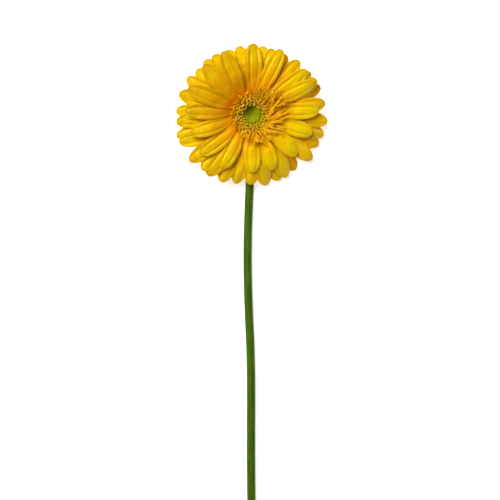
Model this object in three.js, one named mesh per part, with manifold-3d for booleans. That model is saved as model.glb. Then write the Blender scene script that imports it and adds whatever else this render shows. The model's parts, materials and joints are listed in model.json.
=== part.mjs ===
// A cut gerbera, laid face up on a flat surface: a bare stem whose neck turns up under a single
// daisy-like head. Lengths are in millimetres and angles in degrees. The surface is at Z = 0, the
// head is towards +Y, the cut end towards -Y, and +X is on the right as the flower is looked down on.
//
// The pieces, from the outside in:
//   stem          the bare stem, cut square, lying on the surface and turning up at the neck
//   involucre     the green cup under the head, with its two rows of narrow bracts
//   ray_petals    the long strap petals, in three rings
//   trans_florets the ring of short, narrow straps inside the petals
//   disc_florets  the open tube florets round the eye
//   disc_buds     the green eye of unopened buds

import * as THREE from "three";
import { mergeVertices } from "three/addons/utils/BufferGeometryUtils.js";
import Module from "manifold-3d";

const wasm = await Module();
wasm.setup();

const DEGREE = Math.PI / 180;
const GOLDEN_ANGLE = 137.508;
const GAP = 0.3; // left between pieces that touch

// The head: the height of its receptacle's flat top over the surface, and how far it leans.
const HEAD_HEIGHT = 18.6;
const LEAN_RIGHT = 13;
const LEAN_TO_STEM = 11;
const RECEPTACLE_RADIUS = 15;
const RECEPTACLE_DEPTH = 9.5; // from its flat top down to where the stem joins it

// The stem, whose route on the surface is seen from above, from the neck to the cut end.
const STEM_RADIUS = 3.0;
const STEM_SIDES = 12;
const NECK_RUN = 16; // length of the rising curve's two handles
const NECK_PULL = 6.5;
const STEM_ROUTE = [
  [0.6, -25],
  [0.3, -43],
  [-0.6, -62],
  [-1.5, -98],
  [-0.8, -135],
  [0.4, -163],
  [0.9, -187],
  [0.9, -240],
  [1.5, -290],
  [3.2, -348],
];

// The three rings of petals, from the front one to the back one. Rise is the angle at which a petal
// leaves the head, and droop is how far it bends down again along its length. Phase is where the ring
// starts, as a share of a step, and turn is how far a petal may stand from its even place.
const FIRST_PETAL = -90.3;
const PETAL_THICKNESS = 0.8;
const PETAL_RINGS = [
  {
    ...{ seed: 2382, count: 16, phase: 0, turn: 6.5 },
    ...{ root: [13.2, 3.6], length: 33.7, width: 11.3, rise: 27, droop: 43.8 },
  },
  {
    ...{ seed: 2538, count: 17, phase: 0.57, turn: 2.4 },
    ...{ root: [13.4, 2.4], length: 39.1, width: 12, rise: 20.3, droop: 43.6 },
  },
  {
    ...{ seed: 206, count: 17, phase: 0.04, turn: 3 },
    ...{ root: [13.6, 1.3], length: 37.9, width: 12.3, rise: 13.8, droop: 23.7 },
  },
];
const PETAL_SPREAD = { length: 0.035, width: 0.06, rise: 2.5, droop: 5, twist: 9, sway: 7 };
// How far a petal's edges bend up, as a share of its half width: down where the head leans to, and a
// little up on the far side.
const PETAL_CUP = { middle: -0.1, leaning: -0.17, spread: 0.08 };
const BACK_SAG = 4.6; // extra fall of the back ring on the side that the head leans to
const WIDER_ACROSS = 0.062; // how much longer the petals at the sides are than those up and down
const LONGER_BELOW = 0.062; // how much longer the petals near the stem are
const BELOW = -70; // the direction in which they are longest
const FRONT_LONGER = 0.113; // how much longer the front ring is on the far side from the stem
const FAR_SIDE = 92;
const RIDGE_HEIGHT = 0.3;
const TIP_REST = -0.15; // the middle of a tip may be this low, and its underside is then cut flat
const OVER_STEM = 1.4; // the same for a petal that lies over the stem

// The short straps inside the petals, the open tubes inside those, and the bracts of the cup. Root is
// the radius and height of each one's foot on the head.
const TRANS_RINGS = [
  { seed: 400, count: 26, root: [10.9, 3.6], length: 15.2, rise: 54, droop: 27 },
  { seed: 500, count: 22, root: [10.5, 3.6], length: 13, rise: 62, droop: 26 },
];
const TRANS_SPREAD = { length: 0.12, rise: 3, droop: 7, twist: 25, turn: 2 };
// The short straps lie long and low on one side. On the other they are short and steep, so that the
// petals' roots show. On the right they are longest, and swept round, away from the stem.
const FRINGE_SIDE = -25;
const FRINGE_SHORT = 0.56;
const FRINGE_STEEP = 18;
const FRINGE_LOW = 16;
const LONG_SIDE = 10;
const LONG_SHARE = 0.3;
const SWEEP_SIDE = 5;
const SWEEP = 24;
const DISC_RINGS = [
  { seed: 700, count: 20, root: [8, 2.5], length: 6.2, rise: 80, droop: 8 },
  { seed: 800, count: 16, root: [7.4, 2.5], length: 5.4, rise: 86, droop: 8 },
];
const DISC_LEAN = 4; // how much further the disc florets lean the way that the head does
const DISC_SPREAD = { length: 0.14, rise: 5, droop: 0, twist: 0, turn: 2.5 };
const BRACT_ROWS = [
  { seed: 900, count: 20, root: [11.6, -3.8], length: 8.2, rise: 22, droop: 10 },
  { seed: 950, count: 14, root: [6.6, -7.4], length: 8.6, rise: 21, droop: -14 },
];
const BRACT_SPREAD = { length: 0.08, rise: 2, droop: 0, twist: 0, turn: 0 };

// The rings that the petals and florets grow from, and the eye in the middle.
const PETAL_BAND = { inner: 12.4, outer: 15.6, innerHeight: 3.3, outerHeight: 4.9 };
const TRANS_BAND = { inner: 9.6, outer: 12.1, innerHeight: 4.7, outerHeight: 4.2 };
const DISC_BAND = { inner: 6.5, outer: 9.3, innerHeight: 4.4, outerHeight: 4.4 };
const EYE_RADIUS = 6.2;
const EYE_BUDS = 29;
const EYE_DISH = 1.7; // how much higher the buds stand at the rim of the eye than in its middle

// A number from 0 to 1 that is scattered but always the same for the same n.
function scatter(n) {
  const value = Math.sin(n * 127.1 + 11.7) * 43758.5453;
  return value - Math.floor(value);
}

// A scattered number from -size to size.
function jitter(n, size) {
  return (scatter(n) * 2 - 1) * size;
}

function smooth(from, to, value) {
  const t = Math.min(1, Math.max(0, (value - from) / (to - from)));
  return t * t * (3 - 2 * t);
}

// The head's own frame: its origin is the centre of the receptacle's top, and its Z is the way it faces.
const facing = new THREE.Vector3(Math.sin(LEAN_RIGHT * DEGREE), -Math.sin(LEAN_TO_STEM * DEGREE), 0);
facing.z = Math.sqrt(1 - facing.lengthSq());
const headFrame = new THREE.Matrix4().compose(
  new THREE.Vector3(0, 0, HEAD_HEIGHT),
  new THREE.Quaternion().setFromUnitVectors(new THREE.Vector3(0, 0, 1), facing),
  new THREE.Vector3(1, 1, 1),
);
const leanAzimuth = Math.atan2(facing.y, facing.x) / DEGREE;

// A closed geometry as a solid for joining and cutting.
function solidOf(geometry) {
  const bare = new THREE.BufferGeometry();
  bare.setAttribute("position", geometry.getAttribute("position"));
  bare.setIndex(geometry.getIndex());
  const merged = mergeVertices(bare, 1e-4);
  const triangles = [];
  for (let i = 0; i < merged.index.count; i += 3) {
    const [a, b, c] = [0, 1, 2].map((k) => merged.index.getX(i + k));
    if (a !== b && b !== c && c !== a) triangles.push(a, b, c);
  }
  const made = new wasm.Manifold(
    new wasm.Mesh({
      numProp: 3,
      vertProperties: new Float32Array(merged.attributes.position.array),
      triVerts: new Uint32Array(triangles),
    }),
  );
  if (made.volume() > 0) return made;
  for (let i = 0; i < triangles.length; i += 3) {
    [triangles[i + 1], triangles[i + 2]] = [triangles[i + 2], triangles[i + 1]];
  }
  bare.setAttribute("position", merged.attributes.position);
  return solidOf(bare.setIndex(triangles));
}

// A named mesh of a solid, with its own colour.
function piece(name, solid, colour, roughness) {
  const { numProp, numVert, vertProperties, triVerts } = solid.getMesh();
  const places = new Float32Array(numVert * 3);
  for (let i = 0; i < numVert; i++) {
    places.set(vertProperties.subarray(i * numProp, i * numProp + 3), i * 3);
  }
  const geometry = new THREE.BufferGeometry();
  geometry.setAttribute("position", new THREE.BufferAttribute(places, 3));
  geometry.setIndex(new THREE.BufferAttribute(new Uint32Array(triVerts), 1));
  geometry.computeVertexNormals();
  const material = new THREE.MeshStandardMaterial({ color: colour, roughness, metalness: 0 });
  const mesh = new THREE.Mesh(geometry, material);
  mesh.name = name;
  return mesh;
}

// All the solids in a list, joined, with any hollow that they close in filled.
function join(solids) {
  let round = solids;
  while (round.length > 1) {
    const next = [];
    for (let i = 0; i < round.length; i += 2) {
      next.push(i + 1 < round.length ? round[i].add(round[i + 1]) : round[i]);
    }
    round = next;
  }
  const skins = round[0].decompose();
  return skins.reduce((best, one) => (one.volume() > best.volume() ? one : best));
}

// A skin over a row of closed rings with equal numbers of points, capped at both ends.
function skin(rings) {
  const sides = rings[0].length;
  const triangles = [];
  for (let i = 0; i + 1 < rings.length; i++) {
    for (let j = 0; j < sides; j++) {
      const here = i * sides + j;
      const next = i * sides + ((j + 1) % sides);
      triangles.push(here, next, next + sides, here, next + sides, here + sides);
    }
  }
  const last = (rings.length - 1) * sides;
  for (let j = 1; j + 1 < sides; j++) {
    triangles.push(0, j + 1, j, last, last + j, last + j + 1);
  }
  return geometryFrom(rings.flat(), triangles);
}

// A thin sheet over rows of points, each with the sheet's normal there, split alike on both faces.
function sheet(rows, thickness) {
  const across = rows[0].length;
  const half = thickness / 2;
  const points = rows.flat();
  const top = points.map(({ at, normal }) => at.clone().addScaledVector(normal, half));
  const under = points.map(({ at, normal }) => at.clone().addScaledVector(normal, -half));
  const count = points.length;
  const triangles = [];
  for (let i = 0; i + 1 < rows.length; i++) {
    for (let j = 0; j + 1 < across; j++) {
      const a = i * across + j;
      const [b, c, d] = [a + across, a + across + 1, a + 1];
      triangles.push(a, b, c, a, c, d, count + a, count + c, count + b, count + a, count + d, count + c);
    }
  }
  const steps = rows.map((_, i) => i * across);
  const ends = rows[0].map((_, j) => j);
  const rim = [
    ...ends,
    ...steps.slice(1).map((step) => step + across - 1),
    ...ends.slice(0, -1).reverse().map((j) => steps.at(-1) + j),
    ...steps.slice(1, -1).reverse(),
  ];
  rim.forEach((a, i) => {
    const b = rim[(i + 1) % rim.length];
    triangles.push(a, b, count + b, a, count + b, count + a);
  });
  return geometryFrom([...top, ...under], triangles);
}

function geometryFrom(points, triangles) {
  return new THREE.BufferGeometry().setFromPoints(points).setIndex(triangles);
}

// A place on a strap that leaves its root at the angle rise above +X and bends down by droop on a
// round arc: at is a share of its length, side and height are measured from its middle line.
function onStrap({ length, rise, droop, twist = 0, sway = 0 }, at, side, height) {
  const start = rise * DEGREE;
  const here = (rise - droop * at) * DEGREE;
  const curve = (droop * DEGREE) / length;
  const along = (Math.sin(start) - Math.sin(here)) / curve;
  const up = (Math.cos(here) - Math.cos(start)) / curve;
  const turn = twist * at * DEGREE;
  const across = side * Math.cos(turn) - height * Math.sin(turn);
  const over = side * Math.sin(turn) + height * Math.cos(turn);
  const drift = (length * sway * DEGREE * at * at) / 2;
  return new THREE.Vector3(along - over * Math.sin(here), across + drift, up + over * Math.cos(here));
}

// The move that takes a strap from its own place to its root on the head. Aside is the angle by which
// it leaves its root to one side.
function toHead({ azimuth, root, aside = 0 }) {
  return headFrame
    .clone()
    .multiply(new THREE.Matrix4().makeRotationZ(azimuth * DEGREE))
    .multiply(new THREE.Matrix4().makeTranslation(root[0], 0, root[1]))
    .multiply(new THREE.Matrix4().makeRotationZ(aside * DEGREE));
}

// The straps of one ring, evenly placed but for each one's own small differences.
function strapsOf(ring, spread, phase) {
  return Array.from({ length: ring.count }, (_, k) => {
    const seed = ring.seed + k * 5;
    return {
      root: ring.root,
      azimuth: ((k + phase) * 360) / ring.count + jitter(seed, spread.turn),
      length: ring.length * (1 + jitter(seed + 1, spread.length)),
      rise: ring.rise + jitter(seed + 2, spread.rise),
      droop: ring.droop + jitter(seed + 3, spread.droop),
      twist: jitter(seed + 4, spread.twist),
    };
  });
}

// A ring round the head's axis that small pieces grow from, standing on the receptacle.
function band({ inner, outer, innerHeight, outerHeight }, segments) {
  const profile = [
    new THREE.Vector2(inner, GAP),
    new THREE.Vector2(outer, GAP),
    new THREE.Vector2(outer, outerHeight),
    new THREE.Vector2(inner, innerHeight),
    new THREE.Vector2(inner, GAP),
  ];
  return solidOf(new THREE.LatheGeometry(profile, segments).rotateX(Math.PI / 2).applyMatrix4(headFrame));
}

// The share of a petal's full width at a share of its length: narrow at the root, widest past the
// middle and rounded at the tip.
function petalWidth(at) {
  const grown = 0.34 + 0.66 * smooth(0, 0.54, at);
  const closing = Math.max(0, (at - 0.6) / 0.41);
  return grown * Math.sqrt(1 - closing ** 2.4);
}

// How a petal's section stands off its middle line: three ridges and two grooves on a shallow arch.
function petalSection(petal, at, across) {
  const fade = smooth(0, 0.3, at) * (1 - smooth(0.85, 1, at));
  const arch = (petal.cup * petal.width * petalWidth(at) * across * across) / 2;
  return arch + RIDGE_HEIGHT * fade * Math.cos(2 * Math.PI * across);
}

// The stem's middle on the surface at a given Y, for the petals that lie over it.
function stemMiddle(y) {
  const i = STEM_ROUTE.findIndex(([, stop]) => stop <= y);
  if (i < 1) return STEM_ROUTE[0][0];
  const [[x0, y0], [x1, y1]] = [STEM_ROUTE[i - 1], STEM_ROUTE[i]];
  return x0 + ((x1 - x0) * (y - y0)) / (y1 - y0);
}

// Every petal of a ring with its own small differences. One that would pass through the surface, or
// through the stem under it, is raised until it rests there.
function petalsOf(ring, index) {
  return Array.from({ length: ring.count }, (_, k) => {
    const seed = ring.seed + k * 7;
    const azimuth = FIRST_PETAL + ((k + ring.phase) * 360) / ring.count + jitter(seed + 1, ring.turn);
    const sag = index === 2 ? BACK_SAG * Math.max(0, Math.cos((azimuth - leanAzimuth) * DEGREE)) : 0;
    const petal = {
      azimuth,
      root: ring.root,
      length: ring.length * lengthShare(azimuth, index) * (1 + jitter(seed + 2, PETAL_SPREAD.length)),
      width: ring.width * (1 + jitter(seed + 3, PETAL_SPREAD.width)),
      rise: ring.rise + jitter(seed + 4, PETAL_SPREAD.rise) - sag,
      droop: ring.droop + jitter(seed + 5, PETAL_SPREAD.droop),
      twist: jitter(seed + 6, PETAL_SPREAD.twist),
      sway: jitter(seed + 7, PETAL_SPREAD.sway),
      cup: petalCup(azimuth) + jitter(seed + 8, PETAL_CUP.spread),
    };
    while (tipClearance(petal) < 0) {
      petal.rise += 0.5;
    }
    return petal;
  });
}

function petalCup(azimuth) {
  return PETAL_CUP.middle + PETAL_CUP.leaning * Math.cos((azimuth - leanAzimuth) * DEGREE);
}

// The head is a little wider than it is tall. The front ring follows that only half as much, and
// reaches the edge of the head on the side away from the stem.
function lengthShare(azimuth, index) {
  const wider = WIDER_ACROSS * Math.cos(2 * azimuth * DEGREE);
  const longer = LONGER_BELOW * Math.cos((azimuth - BELOW) * DEGREE);
  if (index > 0) return 1 + wider + longer;
  return 1 + (wider + longer) / 2 + FRONT_LONGER * Math.cos((azimuth - FAR_SIDE) * DEGREE);
}

// How far a petal's tip stands over what it may rest on: the surface, or the stem lying on it.
function tipClearance(petal) {
  const tip = onStrap(petal, 1, 0, 0).applyMatrix4(toHead(petal));
  const overStem = tip.y < 0 && Math.abs(tip.x - stemMiddle(tip.y)) < STEM_RADIUS + petal.width / 3;
  return tip.z - (overStem ? 2 * STEM_RADIUS + OVER_STEM : TIP_REST);
}

function petalSolid(petal) {
  const stops = [0, 0.3, 0.62, 0.9, 1];
  const rows = stops.map((stop) =>
    [-1, -0.5, 0, 0.5, 1].map((across) => {
      const at = stop - 0.045 * across * across * smooth(0.6, 1, stop);
      const side = (across * petal.width * petalWidth(stop)) / 2;
      const height = petalSection(petal, stop, across);
      const place = onStrap(petal, at, side, height);
      const above = onStrap(petal, at, side, height + 1);
      return { at: place, normal: above.sub(place) };
    }),
  );
  return solidOf(sheet(rows, PETAL_THICKNESS).applyMatrix4(toHead(petal)));
}

function makeRayPetals() {
  const petals = PETAL_RINGS.flatMap((ring, index) => petalsOf(ring, index)).map(petalSolid);
  const room = 400;
  const below = new THREE.BoxGeometry(room, room, room).translate(0, 0, -room / 2);
  return join([band(PETAL_BAND, 28), ...petals]).subtract(solidOf(below));
}

// A narrow strap with a four-cornered section. Each stop is a share of its length, with the share of
// its full width there.
function strapSolid(strap, width, thickness, stops) {
  const corners = [
    [1, -1],
    [1, 1],
    [-1, 1],
    [-1, -1],
  ];
  const rings = stops.map(([at, share]) =>
    corners.map(([side, over]) => onStrap(strap, at, (side * width * share) / 2, (over * thickness) / 2)),
  );
  return solidOf(skin(rings).applyMatrix4(toHead(strap)));
}

// A round pod on a strap's middle line, with the radius at each share of its length.
function podSolid(strap, sides, stops) {
  const rings = stops.map(([at, radius]) =>
    Array.from({ length: sides }, (_, j) => {
      const turn = (j * 2 * Math.PI) / sides;
      return onStrap(strap, at, radius * Math.sin(turn), -radius * Math.cos(turn));
    }),
  );
  return solidOf(skin(rings).applyMatrix4(toHead(strap)));
}

// Lays a short strap of the fringe the way that it grows on its side of the head.
function layFringe(strap) {
  const reach = smooth(-0.35, 0.75, Math.cos((strap.azimuth - FRINGE_SIDE) * DEGREE));
  const swept = Math.max(0, Math.cos((strap.azimuth - SWEEP_SIDE) * DEGREE));
  const longer = Math.max(0, Math.cos((strap.azimuth - LONG_SIDE) * DEGREE)) ** 2;
  strap.length *= FRINGE_SHORT + (1 - FRINGE_SHORT) * reach + LONG_SHARE * longer;
  strap.rise += FRINGE_STEEP * (1 - reach) - FRINGE_LOW * reach;
  strap.sway = SWEEP * swept;
  strap.aside = SWEEP * swept;
}

// Two staggered rings of short straps, the outer one leaning out further.
function makeTransFlorets() {
  const stops = [
    [0, 0.7],
    [0.55, 1],
    [1, 0.6],
  ];
  const straps = TRANS_RINGS.flatMap((ring, index) => strapsOf(ring, TRANS_SPREAD, index / 2));
  straps.forEach(layFringe);
  return join([band(TRANS_BAND, 28), ...straps.map((strap) => strapSolid(strap, 1.5, 0.7, stops))]);
}

// Two rings of open tube florets, wider at the mouth and leaning out.
function makeDiscFlorets() {
  const stops = [
    [0, 0.42],
    [0.7, 0.42],
    [1, 0.7],
  ];
  const straps = DISC_RINGS.flatMap((ring, index) => strapsOf(ring, DISC_SPREAD, index / 2));
  straps.forEach((strap) => {
    strap.rise -= DISC_LEAN * Math.cos((strap.azimuth - leanAzimuth) * DEGREE);
  });
  return join([band(DISC_BAND, 28), ...straps.map((strap) => podSolid(strap, 5, stops))]);
}

// The eye: a shallow dish of unopened buds, set in the spiral that a daisy's disc grows in.
function makeDiscBuds() {
  const dish = [
    [0, GAP],
    [EYE_RADIUS, GAP],
    [EYE_RADIUS, 4.4],
    [EYE_RADIUS * 0.8, 4.3],
    [EYE_RADIUS * 0.45, 3.2],
    [0, 2.7],
  ].map(([radius, height]) => new THREE.Vector2(radius, height));
  const core = new THREE.LatheGeometry(dish, 20).rotateX(Math.PI / 2).applyMatrix4(headFrame);
  const stops = [
    [0, 0.5],
    [0.68, 0.62],
    [1, 0.2],
  ];
  const buds = Array.from({ length: EYE_BUDS }, (_, k) => {
    const share = Math.sqrt((k + 0.5) / EYE_BUDS);
    const root = [share * (EYE_RADIUS - 1), 1.2 + EYE_DISH * share ** 2];
    const bud = { azimuth: k * GOLDEN_ANGLE, root, length: 2.9, rise: 90, droop: 1 };
    return podSolid(bud, 4, stops);
  });
  return join([solidOf(core), ...buds]);
}

// The stem's middle line: flat on the surface, then up the neck to the foot of the involucre.
const neckTop = new THREE.Vector3(0, 0, HEAD_HEIGHT).addScaledVector(facing, -RECEPTACLE_DEPTH);
const neckWay = new THREE.Vector3(-0.02, 0.12, 1).normalize();
function stemLine() {
  const lying = new THREE.CatmullRomCurve3(
    STEM_ROUTE.map(([x, y]) => new THREE.Vector3(x, y, STEM_RADIUS)).reverse(),
    false,
    "centripetal",
  ).getPoints(18);
  const start = lying.at(-1);
  const neck = new THREE.CubicBezierCurve3(
    start,
    start.clone().add(new THREE.Vector3(0, NECK_RUN, 0)),
    neckTop.clone().addScaledVector(neckWay, -NECK_PULL),
    neckTop,
  ).getPoints(11);
  return [...lying.slice(0, -1), ...neck];
}

// Rings square to the line, each with a flat side underneath, so that the stem lies on a flat.
function makeStem() {
  const line = stemLine();
  const sideways = new THREE.Vector3(1, 0, 0);
  const corner = STEM_RADIUS / Math.cos(Math.PI / STEM_SIDES);
  const rings = line.map((at, i) => {
    const before = line[Math.max(0, i - 1)];
    const after = line[Math.min(line.length - 1, i + 1)];
    const along = i === line.length - 1 ? neckWay.clone() : after.clone().sub(before).normalize();
    if (i === 0) along.set(0, 1, 0);
    const right = sideways.clone().addScaledVector(along, -sideways.dot(along)).normalize();
    const up = right.clone().cross(along);
    return Array.from({ length: STEM_SIDES }, (_, j) => {
      const turn = ((j + 0.5) * 2 * Math.PI) / STEM_SIDES;
      return at
        .clone()
        .addScaledVector(right, corner * Math.sin(turn))
        .addScaledVector(up, -corner * Math.cos(turn));
    });
  });
  return solidOf(skin(rings));
}

// The cup under the head, cut at its foot to meet the stem, with two rows of pointed bracts whose
// tips stand out below the petals.
function makeInvolucre() {
  const foot = RECEPTACLE_DEPTH + 4;
  const profile = [
    [0, -foot],
    [3.1, -foot],
    [3.2, -9.2],
    [5.4, -8.5],
    [9.4, -6.6],
    [12.6, -3.9],
    [14.6, -1.2],
    [RECEPTACLE_RADIUS, 0],
    [0, 0],
  ].map(([radius, height]) => new THREE.Vector2(radius, height));
  const cup = solidOf(new THREE.LatheGeometry(profile, 24).rotateX(Math.PI / 2).applyMatrix4(headFrame));
  const stops = [
    [0, 0.8],
    [0.45, 1],
    [1, 0.25],
  ];
  const straps = BRACT_ROWS.flatMap((row, index) => strapsOf(row, BRACT_SPREAD, 0.4 * index));
  const bracts = straps.map((strap) => strapSolid(strap, 2.5, 0.9, stops));
  const block = new THREE.BoxGeometry(10, 10, 40).translate(0, 0, -20 + GAP);
  const stemEnd = new THREE.Matrix4().compose(
    neckTop,
    new THREE.Quaternion().setFromUnitVectors(new THREE.Vector3(0, 0, 1), neckWay),
    new THREE.Vector3(1, 1, 1),
  );
  return join([cup, ...bracts]).subtract(solidOf(block.applyMatrix4(stemEnd)));
}

const flower = new THREE.Group();
flower.add(
  piece("stem", makeStem(), 0x4e7312, 0.6),
  piece("involucre", makeInvolucre(), 0x557526, 0.7),
  piece("ray_petals", makeRayPetals(), 0xf2c40c, 0.5),
  piece("trans_florets", makeTransFlorets(), 0xf0a51c, 0.55),
  piece("disc_florets", makeDiscFlorets(), 0xd9a640, 0.6),
  piece("disc_buds", makeDiscBuds(), 0x8a9a12, 0.6),
);

// The origin is on the surface, below the middle of the whole flower.
const reach = new THREE.Box3().setFromObject(flower);
flower.position.set(-(reach.min.x + reach.max.x) / 2, -(reach.min.y + reach.max.y) / 2, -reach.min.z);

export default flower;
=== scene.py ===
# %% [markdown]
# # A cut gerbera, face up
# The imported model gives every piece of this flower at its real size: the stem, the green cup, the
# petals and the three kinds of floret. This lesson replaces those plain solids with finer ones that
# keep their places, gives each a finish, and lights them like a flower on a white studio table.
# All lengths below are in metres, and MM turns millimetres into them.

# %% Load the frame
import json
import math

import bmesh
import bpy
from mathutils import Matrix, Vector

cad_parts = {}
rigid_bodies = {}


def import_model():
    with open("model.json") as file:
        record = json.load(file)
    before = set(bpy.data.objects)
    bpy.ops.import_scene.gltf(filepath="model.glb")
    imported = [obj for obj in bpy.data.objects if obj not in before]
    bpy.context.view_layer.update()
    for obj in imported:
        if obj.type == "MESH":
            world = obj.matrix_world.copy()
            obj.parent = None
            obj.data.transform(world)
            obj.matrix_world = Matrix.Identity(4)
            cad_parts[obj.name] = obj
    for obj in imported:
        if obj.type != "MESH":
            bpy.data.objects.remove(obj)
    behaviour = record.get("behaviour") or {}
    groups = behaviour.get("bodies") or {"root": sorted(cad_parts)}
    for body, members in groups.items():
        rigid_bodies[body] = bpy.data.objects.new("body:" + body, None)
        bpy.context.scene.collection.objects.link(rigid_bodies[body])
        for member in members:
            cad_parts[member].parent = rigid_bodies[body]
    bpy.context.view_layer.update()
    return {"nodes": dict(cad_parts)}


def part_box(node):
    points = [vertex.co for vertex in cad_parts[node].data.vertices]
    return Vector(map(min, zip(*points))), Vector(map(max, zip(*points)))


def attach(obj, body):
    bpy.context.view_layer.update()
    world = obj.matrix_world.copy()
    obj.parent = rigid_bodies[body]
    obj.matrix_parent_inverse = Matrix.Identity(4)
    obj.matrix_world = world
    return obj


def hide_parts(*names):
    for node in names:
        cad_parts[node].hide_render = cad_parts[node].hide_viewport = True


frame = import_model()
MM = 0.001
print("nodes in the frame:", sorted(frame["nodes"]))

# %% [markdown]
# ## Where the head is
# A gerbera's head has an axis of its own. Here it leans to the right and towards the stem, so every
# petal and floret is made upright first and then moved by one matrix. The foot of the stem is the
# lowest end of the model's box, and the head's centre is a known way along from it.

# %% The head's own frame
HEAD_FROM_FOOT = 348 * MM
HEAD_HEIGHT = 18.6 * MM
HEAD_SIDE = -1.96 * MM
LEAN_RIGHT = math.radians(13)
LEAN_TO_STEM = math.radians(11)

facing = Vector((math.sin(LEAN_RIGHT), -math.sin(LEAN_TO_STEM), 0))
facing.z = math.sqrt(1 - facing.length_squared)
head_centre = Vector((HEAD_SIDE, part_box("stem")[0].y + HEAD_FROM_FOOT, HEAD_HEIGHT))


def place_along(spot, way):
    """A matrix that moves the origin to a spot and turns Z to a direction."""
    turn = Vector((0, 0, 1)).rotation_difference(way)
    return Matrix.Translation(spot) @ turn.to_matrix().to_4x4()


head_frame = place_along(head_centre, facing)
lean_azimuth = math.atan2(facing.y, facing.x)
print("head centre", [round(c, 4) for c in head_centre])

# %% [markdown]
# ## Small differences
# No two petals are alike, but the flower must come out the same each time it is made. A sine wave
# with a huge factor gives numbers that look random and always repeat, so a petal's number alone
# decides how it differs.


# %% Scattered numbers
def scatter(n):
    value = math.sin(n * 127.1 + 11.7) * 43758.5453
    return value - math.floor(value)


def jitter(n, size):
    return (scatter(n) * 2 - 1) * size


def own_values(seed, spread):
    """One piece's own differences, drawn in the order in which the spread names them."""
    return {name: jitter(seed + i, size) for i, (name, size) in enumerate(spread.items())}


def smooth(start, end, value):
    t = min(1, max(0, (value - start) / (end - start)))
    return t * t * (3 - 2 * t)


print("first scattered numbers:", [round(scatter(n), 3) for n in range(4)])

# %% [markdown]
# ## Working by hand, in code
# In edit mode one picks some points and moves, turns or scales them. These helpers do the same: one
# picks points by a test on each, and the others call Blender's own operators on what is picked.
# Nothing must be selected by accident, so each new piece starts with everything let go.


# %% Helpers for edit mode
def let_go():
    if bpy.context.object and bpy.context.object.mode == "EDIT":
        bpy.ops.object.mode_set(mode="OBJECT")
    bpy.ops.object.select_all(action="DESELECT")


def activate(piece):
    bpy.context.view_layer.objects.active = piece


def opened(piece):
    """Go into edit mode with all of a piece picked."""
    activate(piece)
    bpy.ops.object.mode_set(mode="EDIT")
    bpy.ops.mesh.select_all(action="SELECT")
    return piece


def closed(piece):
    bpy.ops.object.mode_set(mode="OBJECT")
    return piece


def pick(test):
    shape = bmesh.from_edit_mesh(bpy.context.object.data)
    for vert in shape.verts:
        vert.select_set(False)
    for vert in shape.verts:
        if test(vert):
            vert.select_set(True)
    shape.select_flush_mode()
    bmesh.update_edit_mesh(bpy.context.object.data)


def move(x=0, y=0, z=0, **fade):
    bpy.ops.transform.translate(value=(x, y, z), **fade)


def scale(x, y, z, centre):
    bpy.ops.transform.resize(value=(x, y, z), center_override=centre)


def set_all(thing, settings):
    for setting, value in settings.items():
        setattr(thing, setting, value)


def apply_modifier(piece, name, kind, **settings):
    set_all(piece.modifiers.new(name, kind), settings)
    activate(piece)
    bpy.ops.object.modifier_apply(modifier=name)


print("helpers ready")

# %% [markdown]
# ## From an upright shape to its place on the head
# Each strap is bent on a round arc, twisted along its length and swayed to one side with the Simple
# Deform modifier, which works along Z. Then one matrix lays it down at the angle at which it leaves
# the head, turns it to its direction round the head, and moves it to its root.

# %% Placing a strap
UPRIGHT_TO_STRAP = Matrix(((0, 0, 1, 0), (-1, 0, 0, 0), (0, -1, 0, 0), (0, 0, 0, 1)))
DEFORMS = (("twist", "TWIST", "Z", 1), ("sway", "BEND", "Y", -1), ("droop", "BEND", "X", 1))


def note_points(piece, name, values):
    """Write a value on each point, for the materials to read."""
    piece.data.attributes.new(name, "FLOAT", "POINT").data.foreach_set("value", values)


def copied(form, name):
    """A copy with a mesh of its own."""
    piece = form.copy()
    piece.data = form.data.copy()
    piece.name = name
    bpy.context.scene.collection.objects.link(piece)
    return piece


def root_frame(strap):
    """A matrix that moves the origin to a strap's root, with its X pointing outwards."""
    root = Matrix.Translation((strap["root"][0], 0, strap["root"][1]))
    return head_frame @ Matrix.Rotation(strap["azimuth"], 4, "Z") @ root


def shaped_copy(form, name, length, width, strap):
    """A copy of an upright form, bent and set on the head."""
    piece = copied(form, name)
    size = form["size"]
    piece.data.transform(Matrix.Diagonal((width / size[0], width / size[0], length / size[1], 1)))
    for deform, method, axis, way in DEFORMS:
        if strap.get(deform):
            settings = dict(deform_method=method, deform_axis=axis, angle=way * strap[deform])
            apply_modifier(piece, deform, "SIMPLE_DEFORM", **settings)
    aside = Matrix.Rotation(strap.get("aside", 0), 4, "Z")
    lift = Matrix.Rotation(-strap["rise"], 4, "Y")
    piece.data.transform(root_frame(strap) @ aside @ lift @ UPRIGHT_TO_STRAP)
    note_points(piece, "tone", [strap["tone"]] * len(piece.data.vertices))
    return piece


def joined(pieces, name, forms=()):
    """Join the pieces into one, and remove the forms that they were copied from."""
    for form in forms:
        bpy.data.objects.remove(form)
    let_go()
    for piece in pieces:
        piece.select_set(True)
    activate(pieces[0])
    bpy.ops.object.join()
    whole = bpy.context.object
    whole.name = name
    whole.data.name = name
    for note in ("size", "cup"):
        whole.pop(note, None)
    print(name, "has", sum(len(face.vertices) - 2 for face in whole.data.polygons), "triangles")
    return whole


print("strap placing ready")

# %% [markdown]
# ## The camera
# The flower lies on the table and is looked straight down on, so the camera hangs over it with a long
# lens. The eye of the flower stands well above the picture's middle, and the stem runs out below.

# %% Camera
PICTURE = 500
PIXEL = 0.69 * MM
EYE_AT = (251, 113)
EYE_HEIGHT = 4.2 * MM
CAMERA_HEIGHT = 1.3
SENSOR_WIDTH = 36
HEAD_LEVEL = 28 * MM


def put_in_scene(name, data):
    thing = bpy.data.objects.new(name, data)
    bpy.context.scene.collection.objects.link(thing)
    return thing


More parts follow.
